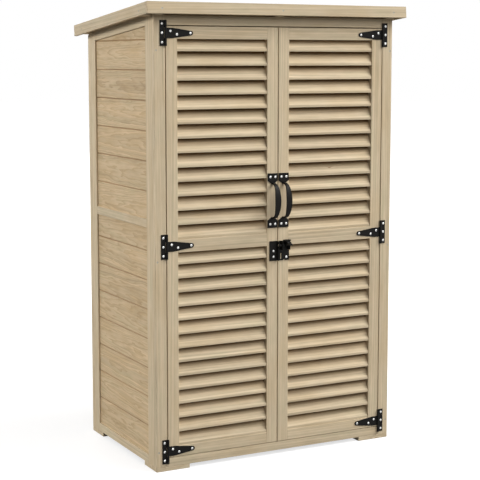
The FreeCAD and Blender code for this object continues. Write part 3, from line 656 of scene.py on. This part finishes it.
def grow_grain(mesh, seed, tilt, wide, warmth, shade):
    """Write each board's place in its tree, its shade and its warmth on the mesh."""
    chance = random.Random(seed)
    grain_layer = mesh.verts.layers.float_vector.new("grain")
    board_layer = mesh.verts.layers.float_vector.new("board")
    turn = Matrix.Rotation(tilt, 3, "X")
    for island in islands(mesh):
        low, high = limits_of(island, turn)
        size = high - low
        longest, middling, shortest = sorted(range(3), key=lambda axis: -size[axis])
        middle = (low + high) / 2
        start = chance.uniform(0.0, tree_length)
        side = chance.choice((-1.0, 1.0))
        depth = chance.uniform(*(flat_sawn_depth if wide else upright_depth))
        offset = chance.uniform(*flat_sawn_offset) if wide else side * chance.uniform(*upright_offset)
        own_shade = shade + chance.random()
        has_knots = chance.random() < knotty_share
        board_value = Vector((own_shade, warmth, has_knots))
        for vert in island:
            place = turn @ vert.co - middle
            lie = (place[longest] + start, place[middling] + offset, place[shortest] + side * depth)
            vert[grain_layer] = Vector(lie)
            vert[board_layer] = board_value


print("boards are cut from trunks that are", tree_length, "m long")

# %% [markdown]
# Shade is painted into the wood where it falls: in the V joints between wall boards, and on the
# deep part of a louvre slat, under the slat above. The photographed cabinet is brown there. The V
# is one even painted brown, and a slat darkens along its slope from nothing at the nose. The marks
# are on the corners of these faces and not on their vertices, which other faces share, so the
# brown ends at the edge of the joint.

# %% Painted shade in the joints and slats
wall_boards = ("back_boards", "left_side_boards", "right_side_boards")
# How much shade is painted into each V joint.
vee_painted_shade = 0.62
vee_normal = 0.8
slope_normal = 0.2


def mark_painted_shade(mesh, node):
    """Paint shade on the V joints of wall boards, and on a slat's slope from its nose to its deep edge."""
    layer = mesh.loops.layers.float.new("sheltered")
    low, high = limits_of(mesh.verts)
    for face in mesh.faces:
        normal = face.normal
        is_vee = node in wall_boards and max(abs(value) for value in normal) < vee_normal
        is_slope = node.endswith("slats") and normal.y < -slope_normal and normal.z > slope_normal
        for loop in face.loops:
            if is_vee:
                loop[layer] = vee_painted_shade
            elif is_slope:
                # A slat's painted shade grows from its nose towards its deep edge.
                loop[layer] = (loop.vert.co.y - low.y) / (high.y - low.y)


print(len(wall_boards), "nodes have V joints")

# %% [markdown]
# The roof's boards lie on a slope. It is measured on the felt's upper face, because it would change
# with the model. The nails that hold the felt need the same face.

# %% Slope of the roof
felt_mesh = merged_solids("roof_felt")
felt_top = max(felt_mesh.faces, key=lambda face: face.normal.z * face.calc_area())
felt_normal = felt_top.normal.copy()
felt_corner = felt_top.verts[0].co.copy()
felt_low, felt_high = limits_of(felt_top.verts)
felt_mesh.free()
roof_tilt = math.atan2(felt_normal.y, felt_normal.z)
print("the roof falls", round(math.degrees(roof_tilt), 2), "degrees")

# %% [markdown]
# Now the boards are made. New ones could start as boxes, but each imported mesh already has its
# tenons, grooves and housings, so a copy of it is merged, sanded and given its grain. Wall boards
# have a planed V of their own, so they aren't sanded. The slats are a little darker than the
# frames: painted shade, because the lamps light their upturned faces more. The fascias are a
# little darker than the frames too.

# %% Boards
sanded = 0.0012
# A darker tone on the slats: painted shade against the extra light on their upturned faces.
slat_painted_shade = -0.5
fascia_shade = -1.5
fascias = ("front_fascia", "rear_fascia", "left_fascia", "right_fascia")
roof_pieces = fascias + ("rafters", "purlins", "roof_boards")
wide_boards = wall_boards + ("floor_boards", "roof_boards", "lower_shelf", "middle_shelf", "upper_shelf")

for seed, node in enumerate(nodes_of["softwood"]):
    mesh = merged_solids(node)
    on_wall = node in wall_boards
    if not on_wall:
        ease(mesh, outer_edges(mesh), sanded)
    tilt = roof_tilt if node in roof_pieces else 0.0
    shade = 0.0
    # Slats: painted shade, as a darker tone.
    if node.endswith("slats"):
        shade = slat_painted_shade
    if node in fascias:
        shade = fascia_shade
    grow_grain(mesh, seed, tilt, wide=node in wide_boards, warmth=on_wall, shade=shade)
    # Paint shade into the V joints and on the slopes of the slats.
    mark_painted_shade(mesh, node)
    stand_in(mesh, node, "_wood", wood)
print(len(nodes_of["softwood"]), "wooden pieces")

# %% [markdown]
# The hinges, handles and latch are stamped steel under a satin black powder coat, which is never
# quite flat: it has a fine orange-peel surface. The peel is far too fine for geometry, so a noise
# bumps it. A reflection as strong as that of most plastics would turn the black grey in a white
# room, so its specular level is low.

# %% Powder coat
coat_black = (0.0055, 0.0049, 0.0043, 1.0)
peel_per_metre = 900.0
smears_per_metre = 40.0

coat, coat_shader, flow = new_material(
    "black_powder_coat",
    Base_Color=coat_black,
    Specular_IOR_Level=0.09,
)
coat_place = object_place(flow)
peel = noise(coat_place, peel_per_metre, peel_per_metre)
smear = noise(coat_place, smears_per_metre, smears_per_metre, detail=3.0)
coat_bump = flow.node("Bump", {"Height": peel, "Strength": 0.25, "Distance": 0.0002})
feed(coat_shader, Roughness=0.38 + smear * 0.18, Normal=coat_bump)
print("powder coat has", len(coat.node_tree.nodes), "nodes")

# %% [markdown]
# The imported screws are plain: their heads are hexagons. They tell where the detailed screws belong
# and which holes a head covers, so their places are measured and not written down again. A screw's
# largest hexagon is the top of its head.

# %% Screw heads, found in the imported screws
hexagon_area = 2.598  # of a hexagon whose corners are 1 from its middle
area_digits = 9
screw_nodes = nodes_of["bright_steel"]


def screw_heads(node):
    """Where each screw's head is, which way it faces and how far its corners are from its middle."""
    mesh = merged_solids(node)
    heads = []
    for island in islands(mesh):
        hexagons = once(face for vert in island for face in vert.link_faces if len(face.verts) == 6)
        head = max(hexagons, key=lambda face: round(face.calc_area(), area_digits))
        middle = head.calc_center_median()
        radius = math.sqrt(head.calc_area() / hexagon_area)
        heads.append({"middle": middle, "outward": head.normal.copy(), "radius": radius})
    mesh.free()
    return heads


heads_of = {node: screw_heads(node) for node in screw_nodes}
print({node: len(heads) for node, heads in heads_of.items()})

# %% [markdown]
# Stamped plates have slightly rounded edges, which show as a thin line of light. A bevel modifier
# would round every sharp edge. Here only the convex ones that show are taken: the rims that a screw
# head or a hinge pin covers are left out, because nobody sees them.

# %% Edges of the metal that show
covered_radius = 0.0032
hinge_axes = [joint for joint in frame["joints"] if joint["type"] == "hinge"]
head_places = [head["middle"] for heads in heads_of.values() for head in heads]


def near_axis(place):
    """True close to the upright axis of a hinge."""
    return any(
        math.hypot(place.x - joint["pos_m"][0], place.y - joint["pos_m"][1]) < covered_radius
        for joint in hinge_axes
    )


def covered(edge):
    """True for the rim of a screw hole or of a hinge's bore."""
    middle = (edge.verts[0].co + edge.verts[1].co) / 2
    under_head = any(
        math.hypot(middle.x - place.x, middle.z - place.z) < covered_radius
        for place in head_places
    )
    return under_head or all(near_axis(vert.co) for vert in edge.verts)


def bare_edges(mesh, least_turn):
    """The convex edges that show and turn by more than an angle."""
    sharp = [edge for edge in mesh.edges if edge.is_convex and edge.calc_face_angle(0.0) > least_turn]
    return [edge for edge in sharp if not covered(edge)]


print(len(head_places), "screw heads and", len(hinge_axes), "hinge axes cover rims")

# %% [markdown]
# A hinge's knuckles are rolled round its pin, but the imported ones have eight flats. A wide bevel on
# the edges between two flats makes them round. It comes first, and only where both flats have room
# for it. After that, every sharp edge that is left gets the narrow rim.

# %% Eased metal
plate_round = 0.0004
knuckle_round = 0.0011
flat_turn = math.radians(34.0)
rim_turn = math.radians(50.0)
metal_smooth = math.radians(32.0)


def between_wide_flats(edge):
    """True between two flats of a knuckle that both have room for the wide bevel."""
    widths = [face.calc_area() / edge.calc_length() for face in edge.link_faces]
    return edge.calc_face_angle(0.0) < rim_turn and min(widths) > 2.0 * knuckle_round


for node in nodes_of["black_steel"]:
    mesh = merged_solids(node)
    has_knuckles = node.startswith("hinge") or node.endswith("straps")
    if has_knuckles:
        corners = [edge for edge in bare_edges(mesh, flat_turn) if between_wide_flats(edge)]
        ease(mesh, corners, knuckle_round)
    rims = bare_edges(mesh, flat_turn if has_knuckles else rim_turn)
    ease(mesh, rims, plate_round)
    print(node, len(rims), "rims,", len(mesh.faces), "faces")
    stand_in(mesh, node, "_coated", coat, metal_smooth)

# %% [markdown]
# The screws are zinc-plated steel. Seen close, the plating is a patchwork of slightly brighter
# and duller crystals, which a noise of about a millimetre stands for. The sunk screws of the frame
# are duller, because the salts that protect the timber have dimmed them.

# %% Zinc
crystals_per_metre = 900.0
bright_zinc = ((0.50, 0.50, 0.485, 1.0), (0.74, 0.735, 0.715, 1.0))
dimmed_zinc = ((0.30, 0.29, 0.25, 1.0), (0.46, 0.45, 0.40, 1.0))


def plating(name, colors, roughness):
    """A metal that varies between two colours, and is a little rougher where it is brighter."""
    material, shader, flow = new_material(name, Metallic=1.0)
    crystal = noise(object_place(flow), crystals_per_metre, crystals_per_metre)
    feed(shader, Base_Color=blend(crystal, *colors), Roughness=roughness + crystal * 0.2)
    print(name, "has", len(material.node_tree.nodes), "nodes")
    return material


zinc = plating("zinc_plate", bright_zinc, roughness=0.30)
dull_zinc = plating("weathered_zinc", dimmed_zinc, roughness=0.50)

# %% [markdown]
# A screw head could be a turned profile, but its cross recess isn't round. So the head starts as a
# grid of squares that is pressed into a disc: each square ring of the grid becomes a round one. The
# faces of the grid that form a plus will be pushed down.

# %% A disc of squares, and its cross
head_cells = 8
cross_reach = 0.62
cross_half_width = 0.30


def disc_of_squares(cells):
    """A grid from -1 to 1 whose square rings become round ones."""
    mesh = bmesh.new()
    bmesh.ops.create_grid(mesh, x_segments=cells, y_segments=cells, size=1.0)
    for vert in mesh.verts:
        ring = max(abs(vert.co.x), abs(vert.co.y))
        if ring > 0.0:
            vert.co *= ring / vert.co.length
    return mesh


def in_cross(face):
    """True for a face of the plus in the middle of the disc."""
    place = face.calc_center_median()
    reach = max(abs(place.x), abs(place.y))
    side = min(abs(place.x), abs(place.y))
    return reach < cross_reach and side < cross_half_width


test = disc_of_squares(head_cells)
print(sum(in_cross(face) for face in test.faces), "of", len(test.faces), "squares form the cross")
test.free()

# %% [markdown]
# The middle of the disc is raised to a dome, highest in the middle, and the cross is pushed into it.
# The cross narrows towards its floor, as the tip of a screwdriver does.

# %% A screw's crowned head
pan_rim = 0.0009
pan_crown = 0.0013
crown_power = 2.4
cross_depth = 0.5
cross_narrowing = 0.75


def crossed_head(radius, crown, rim):
    """The upper skin of a head: a dome over a rim at a height, with the cross pushed into it."""
    mesh = disc_of_squares(head_cells)
    cross = [face for face in mesh.faces if in_cross(face)]
    pushed = bmesh.ops.extrude_face_region(mesh, geom=cross)["geom"]
    bmesh.ops.delete(mesh, geom=cross, context="FACES")
    sunk = {vert for item in pushed if isinstance(item, bmesh.types.BMFace) for vert in item.verts}
    for vert in mesh.verts:
        dome = crown * (1.0 - vert.co.length ** crown_power)
        depth = cross_depth * radius if vert in sunk else 0.0
        shrink = cross_narrowing if vert in sunk else 1.0
        vert.co = Vector((vert.co.x * radius * shrink, vert.co.y * radius * shrink, rim + dome - depth))
    return mesh


test = crossed_head(heads_of["leaf_screws"][0]["radius"], pan_crown, pan_rim)
print("the upper skin of a head has", len(test.faces), "faces")
test.free()

# %% [markdown]
# The rest of the screw is round and grows out of the head's rim: the rim is extruded down to the
# seat, in to the shank, down the shank and to the point. The rim of a sunk screw narrows to a cone
# on its way to the seat. Threads are left out, because they are inside the wood.

# %% A whole screw
screw_shank_radius = 0.0018
screw_shank_length = 0.012
screw_point_length = 0.004
screw_point_width = 0.1


def drawn(mesh, edges, length, width):
    """Extrude a rim down by a length and scale it to a width, and return its new edges."""
    made = bmesh.ops.extrude_edge_only(mesh, edges=edges)["geom"]
    verts = [item for item in made if isinstance(item, bmesh.types.BMVert)]
    for vert in verts:
        vert.co.x *= width
        vert.co.y *= width
        vert.co.z -= length
    return [item for item in made if isinstance(item, bmesh.types.BMEdge) and item.is_boundary]


def screw_mesh(radius, crown, rim, seat_width):
    """A screw along -Z whose seat is at 0: a crowned head with a cross, its shank and its point."""
    mesh = crossed_head(radius, crown, rim)
    edges = [edge for edge in mesh.edges if edge.is_boundary]
    edges = drawn(mesh, edges, rim, seat_width)
    edges = drawn(mesh, edges, 0.0, screw_shank_radius / (radius * seat_width))
    edges = drawn(mesh, edges, screw_shank_length, 1.0)
    edges = drawn(mesh, edges, screw_point_length, screw_point_width)
    bmesh.ops.edgeloop_fill(mesh, edges=edges)
    bmesh.ops.recalc_face_normals(mesh, faces=mesh.faces)
    return mesh


print("a screw is", (screw_shank_length + screw_point_length) * in_mm, "mm long under its head")

# %% [markdown]
# One screw is made for each node and copied to the places of its heads. No two driven screws stop at
# the same turn, so each copy is turned at random. Objects that share one mesh would be simpler,
# but a node's screws have to stay one piece.

# %% Screws at their places
spin_seed = 7
head_share = 0.97
sunk_height = 0.0012
sunk_crown = 0.00001
sunk_seat_width = 0.6
screw_smooth = math.radians(40.0)


def placed_copies(mesh, places):
    """One bmesh with a copy of the mesh at each place, turned at random about its own axis."""
    chance = random.Random(spin_seed)
    whole = bmesh.new()
    single = bpy.data.meshes.new("single_copy")
    for middle, outward in places:
        copy = mesh.copy()
        turn = outward.to_track_quat("Z", "Y").to_matrix().to_4x4()
        spin = Matrix.Rotation(chance.uniform(0.0, math.pi), 4, "Z")
        bmesh.ops.transform(copy, matrix=Matrix.Translation(middle) @ turn @ spin, verts=copy.verts)
        copy.to_mesh(single)
        copy.free()
        whole.from_mesh(single)
    bpy.data.meshes.remove(single)
    return whole


for node in screw_nodes:
    heads = heads_of[node]
    radius = heads[0]["radius"] * head_share
    is_sunk = node == "frame_screws"
    height = sunk_height if is_sunk else pan_rim + pan_crown
    crown = sunk_crown if is_sunk else pan_crown
    screw = screw_mesh(radius, crown, height - crown, sunk_seat_width if is_sunk else 1.0)
    places = [(head["middle"] - head["outward"] * height, head["outward"]) for head in heads]
    mesh = placed_copies(screw, places)
    screw.free()
    head_width = round(2 * radius * in_mm, 1)
    print(node, len(places), "screws,", head_width, "mm heads,", len(mesh.faces), "faces")
    stand_in(mesh, node, "_crossed", dull_zinc if is_sunk else zinc, screw_smooth)

# %% [markdown]
# The roof is covered with a felt that has slate granules pressed into its bitumen. The granules
# are the cells of a Voronoi texture: each cell has its own grey-green and stands up a little.
# Grains as geometry would be hundreds of thousands of pieces that hardly show. The sheet of the
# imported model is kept, because its shape is right.

# %% Roofing felt
granules_per_metre = 700.0
patches_per_metre = 7.0
dark_slate = (0.022, 0.026, 0.023, 1.0)
light_slate = (0.135, 0.145, 0.125, 1.0)

felt, felt_shader, flow = new_material("slate_granules", Specular_IOR_Level=0.3)
felt_place = object_place(flow)
granule = {"Vector": felt_place, "Scale": granules_per_metre}
granule_gap = flow.node("TexVoronoi", granule, output="Distance")
granule_tint = flow.node("SeparateColor", {0: flow.node("TexVoronoi", granule, output="Color")})
patch = noise(felt_place, patches_per_metre, patches_per_metre, detail=3.0)
felt_color = blend(granule_tint * 0.75 + patch * 0.35, dark_slate, light_slate)
felt_bump = flow.node("Bump", {"Height": 1.0 - granule_gap, "Strength": 0.8, "Distance": 0.0012})
feed(felt_shader, Base_Color=felt_color, Roughness=0.78 + granule_tint * 0.17, Normal=felt_bump)
for node in nodes_of["felt"]:
    frame["nodes"][node].data.materials.clear()
    frame["nodes"][node].data.materials.append(felt)
print("felt has", len(felt.node_tree.nodes), "nodes")

# %% [markdown]
# Felt is held by clout nails: short nails with a wide flat head. A nail is round, so half of its
# outline is drawn and spun about its axis, as on a lathe. The spin ends where it began, so its last
# copy is merged with the first.

# %% One clout nail
nail_head_radius = 0.005
nail_head_height = 0.0008
nail_head_flat = 0.9
nail_head_side = 0.5
nail_radius = 0.0014
nail_length = 0.010
nail_point_starts = 0.8
nail_sides = 14


def nail_mesh():
    """A nail along -Z with its head's seat at 0, spun from half of its outline."""
    mesh = bmesh.new()
    outline = (
        (0.0, nail_head_height),
        (nail_head_radius * nail_head_flat, nail_head_height),
        (nail_head_radius, nail_head_height * nail_head_side),
        (nail_head_radius, 0.0),
        (nail_radius, 0.0),
        (nail_radius, -nail_length * nail_point_starts),
        (0.0, -nail_length),
    )
    verts = [mesh.verts.new((across, 0.0, height)) for across, height in outline]
    edges = [mesh.edges.new(pair) for pair in zip(verts, verts[1:])]
    bmesh.ops.spin(
        mesh,
        geom=verts + edges,
        cent=(0.0, 0.0, 0.0),
        axis=(0.0, 0.0, 1.0),
        angle=2.0 * math.pi,
        steps=nail_sides,
        use_merge=True,
    )
    bmesh.ops.remove_doubles(mesh, verts=mesh.verts, dist=merge_distance)
    bmesh.ops.recalc_face_normals(mesh, faces=mesh.faces)
    return mesh


nail = nail_mesh()
print("a clout nail has", len(nail.faces), "faces")

# %% [markdown]
# Nails stand about every hand's width along the four edges of the felt. Their rows are worked out
# from the size of the sheet, so that they end in the corners, and each nail is set on the slope.

# %% Nails along the edges of the felt
nail_spacing = 0.115
nail_margin = 0.022
nail_smooth = math.radians(35.0)


def evenly(start, end, spacing):
    """Places from start to end, both included, about a spacing apart."""
    count = max(1, round((end - start) / spacing))
    return [start + (end - start) * index / count for index in range(count + 1)]


def on_felt(x, y):
    """The point of the felt's upper face over x and y."""
    rise = (felt_normal.x * (x - felt_corner.x) + felt_normal.y * (y - felt_corner.y)) / felt_normal.z
    return Vector((x, y, felt_corner.z - rise))


columns = evenly(felt_low.x + nail_margin, felt_high.x - nail_margin, nail_spacing)
rows = evenly(felt_low.y + nail_margin, felt_high.y - nail_margin, nail_spacing)
spots = [(x, y) for x in columns for y in (rows[0], rows[-1])]
spots += [(x, y) for x in (columns[0], columns[-1]) for y in rows[1:-1]]
nails = placed_copies(nail, [(on_felt(x, y), felt_normal) for x, y in spots])
nail.free()
finished(nails, "clout_nails", zinc, body_of["roof_felt"], nail_smooth)
print(len(spots), "clout nails")

# %% [markdown]
# The looks must not change the size. The bodies that the pieces ride on are listed.

# %% Bodies, and the end
print("all pieces ride on", sorted(set(body_of.values())))
